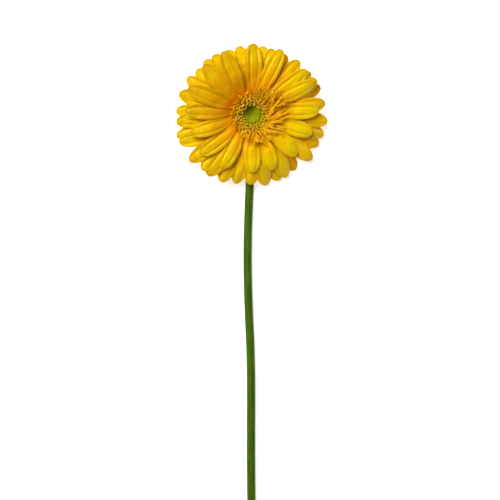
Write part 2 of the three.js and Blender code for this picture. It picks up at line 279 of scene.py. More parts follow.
eye = head_frame @ Vector((0, 0, EYE_HEIGHT))
camera_data = bpy.data.cameras.new("camera")
camera = put_in_scene("camera", camera_data)
camera.location = (
    eye.x + (PICTURE / 2 - EYE_AT[0]) * PIXEL,
    eye.y - (PICTURE / 2 - EYE_AT[1]) * PIXEL,
    CAMERA_HEIGHT,
)
camera_data.sensor_width = SENSOR_WIDTH
camera_data.lens = SENSOR_WIDTH * (CAMERA_HEIGHT - HEAD_LEVEL) / (PICTURE * PIXEL)
bpy.context.scene.camera = camera
print("lens", round(camera_data.lens, 1), "mm at", [round(c, 3) for c in camera.location])

# %% [markdown]
# ## The petal plan
# A gerbera's ray petals stand in rings, and each ring fills the gaps of the one in front. A petal is
# known by where it points, how steeply it rises from the head and how far it droops along its length.
# The same rule as the solid model's gives each its own values, so the fine petals fall on the plain
# ones. A petal that would dip through the table or the stem is raised until it rests there.

# %% Petal plan
FIRST_PETAL = math.radians(-90.3)
# Each ring's first seed, count, phase, turn, root, length, width, rise and droop
PETAL_RINGS = (
    (2382, 16, 0, 6.5, (13.2, 3.6), 33.7, 11.3, 27, 43.8),
    (2538, 17, 0.57, 2.4, (13.4, 2.4), 39.1, 12, 20.3, 43.6),
    (206, 17, 0.04, 3, (13.6, 1.3), 37.9, 12.3, 13.8, 23.7),
)
PETAL_SPREAD = dict(length=0.035, width=0.06, rise=2.5, droop=5, twist=9, sway=7, cup=0.08, tone=0.2)
CUP_MIDDLE, CUP_LEANING = -0.1, -0.17
BACK_SAG = math.radians(4.6)
WIDER_ACROSS = 0.062
LONGER_BELOW = 0.062
BELOW = math.radians(-70)
FRONT_LONGER = 0.113
FAR_SIDE = math.radians(92)
# Painted light and shade per ring: front petals lighter and back petals darker on the side the head leans to
RING_LIGHT_AND_SHADE = (0.55, 0.08, -0.22)
HUMP = math.radians(9)
RISE_STEP = math.radians(0.5)
TIP_REST = -0.15 * MM
OVER_STEM = 1.4 * MM
STEM_RADIUS = 3 * MM
STEM_ROUTE = (
    *((0.6, -25), (0.3, -43), (-0.6, -62), (-1.5, -98), (-0.8, -135)),
    *((0.4, -163), (0.9, -187), (0.9, -240), (1.5, -290), (3.2, -348)),
)
stem_stops = [Vector((head_centre.x + x * MM, head_centre.y + y * MM, STEM_RADIUS)) for x, y in STEM_ROUTE]


def stem_middle(y):
    """The stem's X where it passes a given Y."""
    for before, after in zip(stem_stops, stem_stops[1:]):
        if after.y <= y <= before.y:
            return before.x + (after.x - before.x) * (y - before.y) / (after.y - before.y)
    return stem_stops[0].x


def petal_tip(petal):
    start, end = petal["rise"], petal["rise"] - petal["droop"]
    curve = petal["droop"] / petal["length"]
    along = (math.sin(start) - math.sin(end)) / curve
    up = (math.cos(end) - math.cos(start)) / curve
    side = petal["length"] * petal["sway"] / 2
    return root_frame(petal) @ Vector((along, side, up))


def clearance(petal):
    tip = petal_tip(petal)
    beside = abs(tip.x - stem_middle(tip.y))
    over_stem = tip.y < head_centre.y and beside < STEM_RADIUS + petal["width"] / 3
    return tip.z - (2 * STEM_RADIUS + OVER_STEM if over_stem else TIP_REST)


def length_share(azimuth, layer):
    wider = WIDER_ACROSS * math.cos(2 * azimuth)
    longer = LONGER_BELOW * math.cos(azimuth - BELOW)
    if layer > 0:
        return 1 + wider + longer
    return 1 + (wider + longer) / 2 + FRONT_LONGER * math.cos(azimuth - FAR_SIDE)


def planned_petals():
    petals = []
    for layer, (first, count, phase, turn, root, length, width, rise, droop) in enumerate(PETAL_RINGS):
        for k in range(count):
            seed = first + k * 7
            turned = math.radians(jitter(seed + 1, turn))
            azimuth = FIRST_PETAL + (k + phase) * math.tau / count + turned
            share = length_share(azimuth, layer)
            towards = math.cos(azimuth - lean_azimuth)
            sag = BACK_SAG * max(0, towards) if layer == 2 else 0
            own = own_values(seed + 2, PETAL_SPREAD)
            petal = dict(
                layer=layer,
                azimuth=azimuth,
                root=[value * MM for value in root],
                length=length * MM * share * (1 + own["length"]),
                width=width * MM * (1 + own["width"]),
                rise=math.radians(rise + own["rise"]) - sag,
                droop=math.radians(droop + own["droop"]),
                twist=math.radians(own["twist"]),
                sway=math.radians(own["sway"]),
                cup=CUP_MIDDLE + CUP_LEANING * towards + own["cup"],
                # painted light and shade by ring and side, on top of each petal's own random tone
                tone=0.5 + RING_LIGHT_AND_SHADE[layer] * towards + own["tone"],
            )
            while clearance(petal) < 0:
                petal["rise"] += RISE_STEP
            if layer == 0:
                hump = HUMP * max(0, towards)
                petal["rise"] += hump / 2
                petal["droop"] += hump
            petals.append(petal)
    return petals


petal_plan = planned_petals()
print("planned", len(petal_plan), "petals")

# %% [markdown]
# ## One petal, modelled by hand
# A ray petal is a strap: narrow at its root, widest past its middle and blunt at its tip, with two
# long grooves and three tiny teeth. A grid gives it rows to narrow one by one and columns to raise
# into a shallow arch. The grooves are pressed in with proportional editing, which fades their ends as
# a finger would. A Solidify modifier then makes the skin as thick as a petal and puts its underside
# in a material slot of its own.

# %% Petal forms
PETAL_SIZE = (11.4 * MM, 36 * MM)
PETAL_SKIN = 0.5 * MM
COLUMNS = 24
ROWS = 44
ROW_CROWDING = 1.5
ROOT_SHARE = 0.5
WIDE_FROM = 0.5
TIP_FROM, TIP_SPAN = 0.6, 0.404
TIP_LEFT = 0.004
TIP_BLUNTNESS = 2.4
TEETH_FROM = 0.985
GROOVE_PASSES = ((0.14, 0.95), (0.24, 0.88), (0.34, 0.8))
GROOVE_DEPTH = 0.22 * MM
GROOVE_REACH = 1.4 * MM


def grid_form(name, columns, rows, size):
    """A flat grid along +Y from the origin, left in edit mode."""
    let_go()
    bpy.ops.mesh.primitive_grid_add(x_subdivisions=columns, y_subdivisions=rows, size=1)
    form = opened(bpy.context.object)
    form.name = name
    form["size"] = size
    scale(size[0], size[1], 1, (0, 0, 0))
    move(y=size[1] / 2)
    return form


def narrow_row(columns, row, share):
    pick(lambda vert: vert.index // (columns + 1) == row)
    scale(share, 1, share, (0, 0, 0))


def arch_columns(columns, height):
    """Raise each column the more, the further it is from the middle."""
    for column in range(columns + 1):
        across = 2 * column / columns - 1
        pick(lambda vert: vert.index % (columns + 1) == column)
        move(z=height * across * across)


def thickened(form, skin, **settings):
    """Give the flat sheet a thickness and stand it up along +Z, with its face towards -Y."""
    apply_modifier(closed(form), "skin", "SOLIDIFY", thickness=skin, offset=0, **settings)
    bpy.ops.object.shade_smooth()
    form.rotation_euler.x = math.pi / 2
    bpy.ops.object.transform_apply(location=True, rotation=True, scale=True)
    return form


def petal_width(at):
    """The share of its full width that a petal has at a place along it."""
    grown = ROOT_SHARE + (1 - ROOT_SHARE) * smooth(0, WIDE_FROM, at)
    closing = max(0, (at - TIP_FROM) / TIP_SPAN)
    return grown * math.sqrt(max(TIP_LEFT, 1 - closing**TIP_BLUNTNESS))


def shape_rows(length):
    """Narrow each row to the outline, with the rows closer together towards the tip."""
    for row in range(ROWS + 1):
        even = row / ROWS
        at = 1 - (1 - even) ** ROW_CROWDING
        narrow_row(COLUMNS, row, petal_width(at))
        move(y=(at - even) * length)


def press_grooves(length):
    """Press two grooves a little deeper at each pass over a shorter stretch."""
    fade = dict(proportional_edit_falloff="SMOOTH", proportional_size=GROOVE_REACH)
    for first, last in GROOVE_PASSES:
        for column in (COLUMNS // 4, COLUMNS * 3 // 4):
            pick(
                lambda vert: vert.index % (COLUMNS + 1) == column
                and first * length < vert.co.y < last * length
            )
            move(z=-GROOVE_DEPTH, use_proportional_edit=True, **fade)


def cut_notch(length, depth):
    """Draw the middle of the tip back between the petal's three tiny teeth."""
    for column in (COLUMNS // 3, COLUMNS * 2 // 3):
        pick(
            lambda vert: abs(vert.index % (COLUMNS + 1) - column) <= 1
            and vert.co.y > TEETH_FROM * length
        )
        move(y=-depth)


def petal_form(name, cup, notch):
    width, length = PETAL_SIZE
    petal = grid_form(name, COLUMNS, ROWS, PETAL_SIZE)
    petal["cup"] = cup
    arch_columns(COLUMNS, cup * width / 2)
    shape_rows(length)
    press_grooves(length)
    cut_notch(length, notch)
    return thickened(petal, PETAL_SKIN, material_offset=1)


FORM_CUPS = (-0.33, -0.22, -0.1, 0.05, 0.16)
petal_forms = [
    petal_form(f"petal_form_{i}", cup, (0.4 + 0.12 * i) * MM) for i, cup in enumerate(FORM_CUPS)
]
print("petal forms:", [form.name for form in petal_forms])

# %% [markdown]
# ## The rings of petals
# Every petal in the plan is a copy of one of the five forms with its own mesh. Each ring is joined
# into one piece, and the ring of tissue that the roots grow from goes with the front one.


# %% Ray petals
CLOUD_SIZE = 11 * MM
CLOUD_HEIGHT = 2.2 * MM
RING_LIFT = 0.3 * MM
RING_WELL = 0.6
RING_SIDES = 48


def root_ring(name, inner, outer, height):
    """A low round wall that small pieces grow from, standing on the receptacle."""
    let_go()
    bpy.ops.mesh.primitive_cylinder_add(vertices=RING_SIDES, radius=outer, depth=height)
    ring = opened(bpy.context.object)
    ring.name = name
    move(z=height / 2 + RING_LIFT)
    pick(lambda vert: vert.co.z > height / 2)
    bpy.ops.mesh.inset(thickness=outer - inner)
    move(z=-RING_WELL * height)
    closed(ring)
    bpy.ops.object.shade_smooth()
    ring.data.transform(head_frame)
    return ring


def undulate(piece):
    """Lift and lower the petals by a soft cloud pattern, so that none is perfectly even."""
    cloud = bpy.data.textures.new("petal_cloud", "CLOUDS")
    cloud.noise_scale = CLOUD_SIZE
    settings = dict(texture_coords="LOCAL", direction="Z", strength=CLOUD_HEIGHT, mid_level=0.5)
    apply_modifier(piece, "undulation", "DISPLACE", texture=cloud, **settings)


petal_pieces = []
for layer, name in enumerate(("petals_front", "petals_middle", "petals_back")):
    group = []
    for k, petal in enumerate(p for p in petal_plan if p["layer"] == layer):
        form = min(petal_forms, key=lambda form: abs(form["cup"] - petal["cup"]))
        group.append(shaped_copy(form, f"petal_{layer}_{k}", petal["length"], petal["width"], petal))
    if layer == 0:
        group.append(root_ring("petal_roots", 12.4 * MM, 15.4 * MM, 4.4 * MM))
    petal_pieces.append(joined(group, name, petal_forms if layer == 2 else ()))
    undulate(petal_pieces[-1])

# %% [markdown]
# Where the lowest petal meets the table, it is pressed flat.

# %% Rest the petals on the table
for piece in petal_pieces:
    let_go()
    opened(piece)
    pick(lambda vert: vert.co.z < 0)
    scale(1, 1, 0, (0, 0, 0))
    closed(piece)
    print(piece.name, "lowest point", round(min(v.co.z for v in piece.data.vertices) * 1000, 3), "mm")

# %% [markdown]
# ## The trans florets
# Between the long petals and the disc stand short, narrow straps, which are petals that never grew
# up. They are cupped, forked at the tip and as untidy as a fringe. Four ringed rows of them, copied
# from two small forms, lean out more towards the outside.

# %% Trans floret forms
STRAP_SIZE = (1.3 * MM, 14 * MM)
STRAP_COLUMNS = 6
STRAP_ROWS = 12
STRAP_ARCH = 0.25 * MM
STRAP_SKIN = 0.35 * MM
STRAP_WIDTH_SPREAD = 0.2


def strap_form(name, fork, curl):
    length = STRAP_SIZE[1]
    strap = grid_form(name, STRAP_COLUMNS, STRAP_ROWS, STRAP_SIZE)
    for row in range(STRAP_ROWS + 1):
        at = row / STRAP_ROWS
        narrow_row(STRAP_COLUMNS, row, 0.55 + 0.45 * smooth(0, 0.6, at) - 0.6 * smooth(0.7, 1, at))
    arch_columns(STRAP_COLUMNS, STRAP_ARCH)
    pick(lambda vert: vert.index % (STRAP_COLUMNS + 1) == STRAP_COLUMNS // 2 and vert.co.y > 0.9 * length)
    move(y=-fork)
    pick(lambda vert: vert.co.y > 0.8 * length)
    move(z=curl)
    return thickened(strap, STRAP_SKIN)


strap_forms = [
    strap_form("strap_form_0", 1.1 * MM, 0.25 * MM),
    strap_form("strap_form_1", 0.4 * MM, -0.3 * MM),
]
print("strap forms:", [form.name for form in strap_forms])

# %% [markdown]
# The rows are staggered, and each strap leans, droops, twists and sways by its own small amount.

# %% Trans florets
# Each row's first seed, count, root, length, rise and droop
TRANS_ROWS = (
    (400, 64, (11.4, 3.7), 14.8, 52, 26),
    (900, 58, (10.9, 3.7), 13.4, 58, 26),
    (1400, 52, (10.3, 3.7), 11.6, 65, 24),
    (2900, 48, (9.8, 3.7), 9.6, 68, 24),
)
FRINGE_SIDE = math.radians(-17)
FRINGE_TURNS_LONG = (-0.35, 0.75)
FRINGE_SHORT = 0.56
FRINGE_STEEP = math.radians(18)
FRINGE_LOW = math.radians(11)
SWEEP_SIDE = math.radians(5)
SWEEP = math.radians(24)
LONG_SIDE = math.radians(10)
LONG_SHARE = 0.3
CROSSING = math.radians(20)


def all_straps(rows, stagger, spread):
    """The straps of all the rings, each with its ring, its number and its own small differences."""
    for index, (first, count, root, length, rise, droop) in enumerate(rows):
        for k in range(count):
            seed = first + k * 8
            own = own_values(seed, spread)
            yield index, k, dict(
                azimuth=(k + index * stagger) * math.tau / count + math.radians(own["turn"]),
                root=[value * MM for value in root],
                length=length * MM * (1 + own["length"]),
                rise=math.radians(rise + own["rise"]),
                droop=math.radians(droop + own["droop"]),
                twist=math.radians(own["twist"]),
                sway=math.radians(own["sway"]),
                tone=scatter(seed + 6),
                kind=scatter(seed + 7),
            )


def lay_fringe(strap):
    """Long and low on the side that the head leans to, short and steep on the other, and swept."""
    reach = smooth(*FRINGE_TURNS_LONG, math.cos(strap["azimuth"] - FRINGE_SIDE))
    swept = max(0, math.cos(strap["azimuth"] - SWEEP_SIDE))
    longer = max(0, math.cos(strap["azimuth"] - LONG_SIDE)) ** 2
    strap["length"] *= FRINGE_SHORT + (1 - FRINGE_SHORT) * reach + LONG_SHARE * longer
    strap["rise"] += FRINGE_STEEP * (1 - reach) - FRINGE_LOW * reach
    strap["sway"] += SWEEP * swept
    crossing = CROSSING * (1 + max(0, -math.sin(strap["azimuth"])))
    strap["aside"] = SWEEP * swept + jitter(strap["kind"], crossing)


trans_spread = dict(turn=3, length=0.14, rise=5, droop=9, twist=40, sway=18)
trans_parts = [root_ring("trans_roots", 9.6 * MM, 12.1 * MM, 6.4 * MM)]
for index, k, strap in all_straps(TRANS_ROWS, 0.5, trans_spread):
    lay_fringe(strap)
    form = strap_forms[int(strap["kind"] * len(strap_forms))]
    width = STRAP_SIZE[0] * (1 + jitter(k + index, STRAP_WIDTH_SPREAD))
    trans_parts.append(shaped_copy(form, f"trans_{index}_{k}", strap["length"], width, strap))
trans_florets = joined(trans_parts, "trans_fringe", strap_forms)

# %% [markdown]
# ## The open disc florets
# Round the eye the disc florets are open. Each is a thin tube that flares into small lobes, and from
# some of them a cream style stands out. A disc is drawn out ring by ring into the tube, and every
# other point of its mouth is pulled out into a lobe.

# %% Disc floret forms
TUBE_SIZE = (1.0 * MM, 6.6 * MM)
LOBE_LIFT = 0.3 * MM


def drawn_out(name, sides, stops):
    """A round shape along +Z, left in edit mode. Each stop is a radius and a height in millimetres."""
    let_go()
    bpy.ops.mesh.primitive_circle_add(vertices=sides, radius=stops[0][0] * MM, fill_type="NGON")
    form = opened(bpy.context.object)
    form.name = name
    move(z=stops[0][1] * MM)
    for (before, low), (after, high) in zip(stops, stops[1:]):
        bpy.ops.mesh.extrude_region_move(TRANSFORM_OT_translate={"value": (0, 0, (high - low) * MM)})
        scale(after / before, after / before, 1, (0, 0, high * MM))
    return form


def faced_out(form):
    """Leave edit mode with every face pointing outwards."""
    bpy.ops.mesh.select_all(action="SELECT")
    bpy.ops.mesh.normals_make_consistent(inside=False)
    closed(form)
    bpy.ops.object.shade_smooth()
    return form


def tube_form(name, sides, stops, lobes=1):
    """A small floret or bud, with lobes on its highest rim and each point's height from 0 to 1."""
    tube = drawn_out(name, sides, stops)
    tube["size"] = TUBE_SIZE
    if lobes > 1:
        rim = max(height for radius, height in stops) * MM
        pick(
            lambda vert: abs(vert.co.z - rim) < 0.01 * MM
            and round(math.atan2(vert.co.x, vert.co.y) * sides / math.tau) % 2 == 0
        )
        scale(lobes, lobes, 1, (0, 0, rim))
        move(z=LOBE_LIFT)
    top = max(vert.co.z for vert in faced_out(tube).data.vertices)
    note_points(tube, "along", [vert.co.z / top for vert in tube.data.vertices])
    return tube


MOUTH_STOPS = ((0.3, 0), (0.32, 4.4), (0.42, 5.7), (0.56, 6.4), (0.3, 6.1), (0.18, 5.2))
STYLE_STOPS = ((0.2, 0), (0.2, 5.8), (0.3, 6.2), (0.16, 6.8))
floret_form = tube_form("floret_form", 10, MOUTH_STOPS, lobes=1.35)
style_form = tube_form("style_form", 6, STYLE_STOPS)
print("floret forms:", floret_form.name, style_form.name)

# %% [markdown]
# Five rings of florets stand round the eye, each shorter and steeper than the one outside it. A
# style stands in some of them, most often on the side away from the head's lean.

# %% Disc florets
DISC_ROWS = (
    (1300, 44, (9.1, 2.5), 7, 74, 9),
    (1650, 40, (8.5, 2.5), 6.5, 78, 8),
    (2000, 36, (7.9, 2.5), 6, 82, 6),
    (2350, 33, (7.3, 2.5), 5.2, 86, 4),
    (2700, 30, (6.8, 2.5), 4.4, 91, 2),
)
DISC_LEAN = math.radians(15)
LEAN_BEHIND = 0.3
STYLE_SHARE, STYLE_SIDE = 0.36, 0.3
STYLE_TALLER, STYLE_SPREAD = 1.14, 0.2
disc_spread = dict(turn=4, length=0.16, rise=6, droop=3, twist=20, sway=5)
tube_parts = [root_ring("disc_roots", 6.5 * MM, 9.3 * MM, 5.6 * MM)]
style_parts = []
for index, k, strap in all_straps(DISC_ROWS, 0.5, disc_spread):
    towards = math.cos(strap["azimuth"] - lean_azimuth)
    strap["rise"] -= DISC_LEAN * max(towards, LEAN_BEHIND * towards)
    name = f"{index}_{k}"
    tube_parts.append(shaped_copy(floret_form, "tube_" + name, strap["length"], TUBE_SIZE[0], strap))
    if strap["kind"] < STYLE_SHARE - STYLE_SIDE * towards:
        height = strap["length"] * (STYLE_TALLER + STYLE_SPREAD * scatter(DISC_ROWS[index][0] + k))
        style_parts.append(shaped_copy(style_form, "style_" + name, height, TUBE_SIZE[0], strap))
disc_tubes = joined(tube_parts, "disc_tubes", [floret_form])
disc_styles = joined(style_parts, "disc_styles", [style_form])

# %% [markdown]
# ## The green eye
# The florets in the middle are still closed: small pointed buds, packed in the spiral in which every
# daisy's disc grows. The angle between one bud and the next is the golden angle, and the square root
# keeps them equally crowded from the middle out.

# %% Buds of the eye
GOLDEN_ANGLE = math.radians(137.508)
EYE_RADIUS = 6.4 * MM
DISH_DEPTH = 4.2 * MM
DISH_MIDDLE = 2.4 * MM
DISH_STEPS = ((0.9 * MM, 0), (1.6 * MM, 1.1 * MM), (1.8 * MM, 0.7 * MM))
EYE_LOW, EYE_CROWN = 1.1 * MM, 1.9 * MM
BUD_COUNT = 170
BUD_LENGTH, BUD_LONGER = 5.6 * MM, 0.6 * MM
BUD_SPLAY, BUD_WIDER = 4, 0.15
BUD_STOPS = ((0.3, 0), (0.42, 2.2), (0.4, 2.8), (0.24, 3.2), (0.07, 3.4))


def eye_dish():
    """A shallow dish that the buds stand in."""
    let_go()
    bpy.ops.mesh.primitive_cylinder_add(vertices=40, radius=EYE_RADIUS, depth=DISH_DEPTH)
    dish = opened(bpy.context.object)
    move(z=DISH_MIDDLE)
    pick(lambda vert: vert.co.z > DISH_MIDDLE)
    for inset, drop in DISH_STEPS:
        bpy.ops.mesh.inset(thickness=inset)
        move(z=-drop)
    closed(dish)
    dish.data.transform(head_frame)
    return dish


bud_form = tube_form("bud_form", 8, BUD_STOPS)
eye_parts = [eye_dish()]
for k in range(BUD_COUNT):
    share = math.sqrt((k + 0.5) / BUD_COUNT)
    bud = dict(
        azimuth=k * GOLDEN_ANGLE,
        root=(share * (EYE_RADIUS + 0.3 * MM), EYE_LOW + EYE_CROWN * share * share),
        rise=math.radians(90 + BUD_SPLAY * share + jitter(k, 3)),
        tone=scatter(k + 5),
    )
    height = BUD_LENGTH + BUD_LONGER * share + jitter(k + 2, 0.5 * MM)
    width = TUBE_SIZE[0] * (1 + BUD_WIDER * share)
    eye_parts.append(shaped_copy(bud_form, f"bud_{k}", height, width, bud))
disc_buds = joined(eye_parts, "eye_buds", [bud_form])

# %% [markdown]
# ## The green cup
# Under the petals sits the involucre: a cup that narrows into the stem, covered with rows of pointed
# bracts like tiles. A disc is drawn out through a short list of radii and heights for the cup, and
# the bracts are copies of one leaf-like form.

# %% Cup of the head
CUP_OUTLINE = (
    *((3.05, -10.4), (3.3, -9.4), (5.4, -8.5), (9.4, -6.6)),
    *((12.6, -3.9), (14.6, -1.2), (14.9, -0.2), (13.5, 0.1)),
)

cup = faced_out(drawn_out("cup", RING_SIDES, CUP_OUTLINE))
cup.data.transform(head_frame)
print("cup has", len(cup.data.polygons), "faces")

# %% [markdown]
# A bract is a narrow pointed leaf with a keel down its back. It is made the way a petal is, but its
# width falls to a point.

# %% Bracts
BRACT_SIZE = (2.6 * MM, 8.4 * MM)
BRACT_COLUMNS = 6
BRACT_ROWS = 12
BRACT_ARCH = 0.5 * MM
BRACT_SKIN = 0.6 * MM


def bract_form():
    bract = grid_form("bract_form", BRACT_COLUMNS, BRACT_ROWS, BRACT_SIZE)
    arch_columns(BRACT_COLUMNS, BRACT_ARCH)
    for row in range(BRACT_ROWS + 1):
        at = row / BRACT_ROWS
        share = (0.75 + 0.25 * smooth(0, 0.35, at)) * (1 - 0.94 * smooth(0.35, 1.05, at))
        narrow_row(BRACT_COLUMNS, row, share)
    return thickened(bract, BRACT_SKIN)


BRACT_RINGS = (
    (2200, 26, (11.9, -3.7), 7.8, 22, 10),
    (2500, 22, (9.4, -6.2), 7.6, 24, -6),
    (2800, 16, (6.2, -7.9), 7.2, 22, -12),
)
bract_spread = dict(turn=2, length=0.1, rise=2.5, droop=3, twist=8, sway=6)
bract = bract_form()
cup_parts = [cup]
for index, k, strap in all_straps(BRACT_RINGS, 0.4, bract_spread):
    cup_parts.append(shaped_copy(bract, f"bract_{index}_{k}", strap["length"], BRACT_SIZE[0], strap))
involucre = joined(cup_parts, "cup_and_bracts", [bract])

# %% [markdown]
# ## The stem
# The stem is one long, faintly ribbed rod. A ribbed outline is swept along its route with Blender's
# curve bevel, the way a hose or a rail is made, and then turned into a mesh. The route lies on the
# table and turns up into the cup at the neck.

# %% Stem
NECK_RUN = 16 * MM
NECK_PULL = 6.5 * MM
START_PULL = 6 * MM
RECEPTACLE_DEPTH = 9.5 * MM
RIBS = 9
neck_top = head_centre - facing * (RECEPTACLE_DEPTH - 0.3 * MM)
neck_way = Vector((-0.02, 0.12, 1)).normalized()


def ribbed_outline():
    """A closed outline with faint ribs, as a curve to sweep."""
    let_go()
    bpy.ops.curve.primitive_nurbs_circle_add(radius=1)
    outline = bpy.context.object
    outline.data.splines.clear()
    spline = outline.data.splines.new("POLY")
    steps = RIBS * 5
    spline.points.add(steps - 1)
    for i, point in enumerate(spline.points):
        turn = i * math.tau / steps
        radius = STEM_RADIUS * (1 - 0.022 + 0.022 * math.cos(RIBS * turn))
        point.co = (radius * math.cos(turn), radius * math.sin(turn), 0, 1)
    spline.use_cyclic_u = True
    return outline


def swept_stem():
    outline = ribbed_outline()
    let_go()
    bpy.ops.curve.primitive_bezier_curve_add()
    route = bpy.context.object
    route.data.splines.clear()
    spline = route.data.splines.new("BEZIER")
    spline.bezier_points.add(len(stem_stops))
    for point, stop in zip(spline.bezier_points, reversed(stem_stops)):
        point.co = stop
        point.handle_left_type = point.handle_right_type = "AUTO"
    start, top = spline.bezier_points[-2:]
    top.co = neck_top
    for point, before, after in (
        (top, neck_way * NECK_PULL, neck_way * NECK_PULL),
        (start, Vector((0, START_PULL, 0)), Vector((0, NECK_RUN, 0))),
    ):
        point.handle_left_type = point.handle_right_type = "FREE"
        point.handle_left = point.co - before
        point.handle_right = point.co + after
    set_all(route.data, dict(dimensions="3D", twist_mode="Z_UP", resolution_u=14, use_fill_caps=True))
    set_all(route.data, dict(bevel_mode="OBJECT", bevel_object=outline))
    bpy.ops.object.convert(target="MESH")
    stem = bpy.context.object
    stem.name = "stem_rod"
    bpy.data.objects.remove(outline)
    return stem


stem = swept_stem()
print("stem points", len(stem.data.vertices))

# %% [markdown]
# The foot is cut straight across. Its flat face is inset twice, so that the green skin, the ring of
# fibres and the pale pith each get faces of their own.

# %% Cut end of the stem
SKIN_RING = 0.35 * MM
FIBRE_RING = 0.5 * MM
PITH_SUNK = 0.15 * MM


def cut_foot():
    let_go()
    opened(stem)
    bpy.ops.mesh.remove_doubles(threshold=0.001 * MM)
    bpy.ops.mesh.normals_make_consistent(inside=False)
    bpy.ops.mesh.select_all(action="DESELECT")
    shape = bmesh.from_edit_mesh(stem.data)
    for face in shape.faces:
        face.select_set(face.normal.y < -0.9 and face.calc_center_median().y < stem_stops[-1].y + MM)
    bmesh.update_edit_mesh(stem.data)
    bpy.ops.mesh.inset(thickness=SKIN_RING)
    stem.active_material_index = 1
    bpy.ops.object.material_slot_assign()
    bpy.ops.mesh.inset(thickness=FIBRE_RING)
    move(y=PITH_SUNK)
    closed(stem)
    bpy.ops.object.shade_smooth_by_angle(angle=math.radians(50))


print("foot at", [round(c, 4) for c in stem_stops[-1]])

# %% [markdown]
# ## Down on the stem
# A gerbera's stem is covered in short soft hairs. One hair is a three-sided cone. A sleeve of them is
# set round a short length of stem, and the sleeve is repeated all the way up, each time turned, so
# that its pattern doesn't show. Hairs that would go into the table are left out.

# %% Stem hairs
HAIRS_IN_SLEEVE = 44
SLEEVE_LENGTH = 6 * MM
SLEEVE_TURN = 2.4
HAIR_LENGTH = 0.8 * MM
HAIR_RADIUS = 0.06 * MM
HAIR_SEAT = 0.12 * MM
HAIR_LEAN, HAIR_LEAN_SPREAD = 15, 30
CLEAR_OF_TABLE = 0.2 * MM


def hair_sleeve():
    hairs = []
    for k in range(HAIRS_IN_SLEEVE):
        length = HAIR_LENGTH * (1 + jitter(k, 0.4))
        let_go()
        bpy.ops.mesh.primitive_cone_add(
            vertices=3, radius1=HAIR_RADIUS, radius2=0, depth=length, location=(0, 0, length / 2)
        )
        hair = bpy.context.object
        bpy.ops.object.transform_apply(location=True, rotation=True, scale=True)
        upright = math.radians(90 - HAIR_LEAN - HAIR_LEAN_SPREAD * scatter(k + 3))
        lean = Matrix.Rotation(upright, 4, "Y")
        spot = Matrix.Translation((STEM_RADIUS - HAIR_SEAT, 0, SLEEVE_LENGTH * scatter(k + 9)))
        hair.data.transform(Matrix.Rotation(k * GOLDEN_ANGLE, 4, "Z") @ spot @ lean)
        hairs.append(hair)
    return joined(hairs, "hair_sleeve")


def route_frames(step):
    """Places along the lying stem, each with its Z along the stem."""
    stops = stem_stops[::-1]
    frames = []
    for before, after in zip(stops, stops[1:]):
        way = after - before
        count = max(1, round(way.length / step))
        frames += [place_along(before + way * i / count, way) for i in range(count)]
    return frames


sleeve = hair_sleeve()
sleeves = []
for k, place in enumerate(route_frames(SLEEVE_LENGTH)):
    sleeves.append(copied(sleeve, f"sleeve_{k}"))
    sleeves[-1].data.transform(place @ Matrix.Rotation(k * SLEEVE_TURN, 4, "Z"))
stem_hairs = joined(sleeves, "stem_hairs", [sleeve])
opened(stem_hairs)
pick(lambda vert: vert.co.z < CLEAR_OF_TABLE)
bpy.ops.mesh.select_linked()
bpy.ops.mesh.delete(type="VERT")
closed(stem_hairs)
print("hair points", len(stem_hairs.data.vertices))

# %% [markdown]
# ## Materials
# A flower is soft, a little see-through and never one flat colour. Each material is a small tree of
# nodes that ends in a Principled shader. The helpers below add a node with its inputs in one line, a
# colour ramp from a list of stops, and a material with its shader's own numbers set.


# %% Helpers for materials
def colour(red, green, blue):
    """A colour as a screen shows it, in the linear numbers that a shader takes."""
    return tuple(((c / 255 + 0.055) / 1.055) ** 2.4 for c in (red, green, blue)) + (1,)


def add_node(tree, kind, inputs=None, **settings):
    made = tree.nodes.new("ShaderNode" + kind)
    set_all(made, settings)
    for socket, value in (inputs or {}).items():
        if isinstance(value, bpy.types.NodeSocket):
            tree.links.new(value, made.inputs[socket])
        else:
            made.inputs[socket].default_value = value
    return made


def ramp(tree, factor, stops):
    """Colours along a factor. Each stop is its place and its red, green and blue as a screen shows them."""
    made = add_node(tree, "ValToRGB", {"Fac": factor})
    points = made.color_ramp.elements
    points.remove(points[-1])
    points[0].position = stops[0][0]
    points[0].color = colour(*stops[0][1:])
    for at, *shade in stops[1:]:
        points.new(at).color = colour(*shade)
    return made.outputs["Color"]


def math_node(tree, operation, *values):
    inputs = dict(enumerate(values))
    return add_node(tree, "Math", inputs, operation=operation).outputs[0]


def wander(tree, value, reach):
    """A small shift up or down, from a value that goes up and down round a half."""
    return math_node(tree, "MULTIPLY", math_node(tree, "SUBTRACT", value, 0.5), reach)


def mixed(tree, factor, below, above, blend="MIX"):
    made = add_node(tree, "Mix", {0: factor, 6: below, 7: above}, data_type="RGBA", blend_type=blend)
    return made.outputs[2]


def remap(tree, value, low, high, out_low=0, out_high=1):
    made = add_node(tree, "MapRange", {0: value, 1: low, 2: high, 3: out_low, 4: out_high})
    return made.outputs[0]


def dress(piece, *finishes):
    for finish in finishes:
        piece.data.materials.append(finish)


def new_material(name, **numbers):
    """A material and its tree, with the numbers that are the same all over set on its shader."""
    made = bpy.data.materials.new(name)
    made.use_nodes = True
    shader = made.node_tree.nodes["Principled BSDF"]
    for socket, value in numbers.items():
        shader.inputs[socket.replace("_", " ")].default_value = value
    return made, made.node_tree


print("material helpers ready")
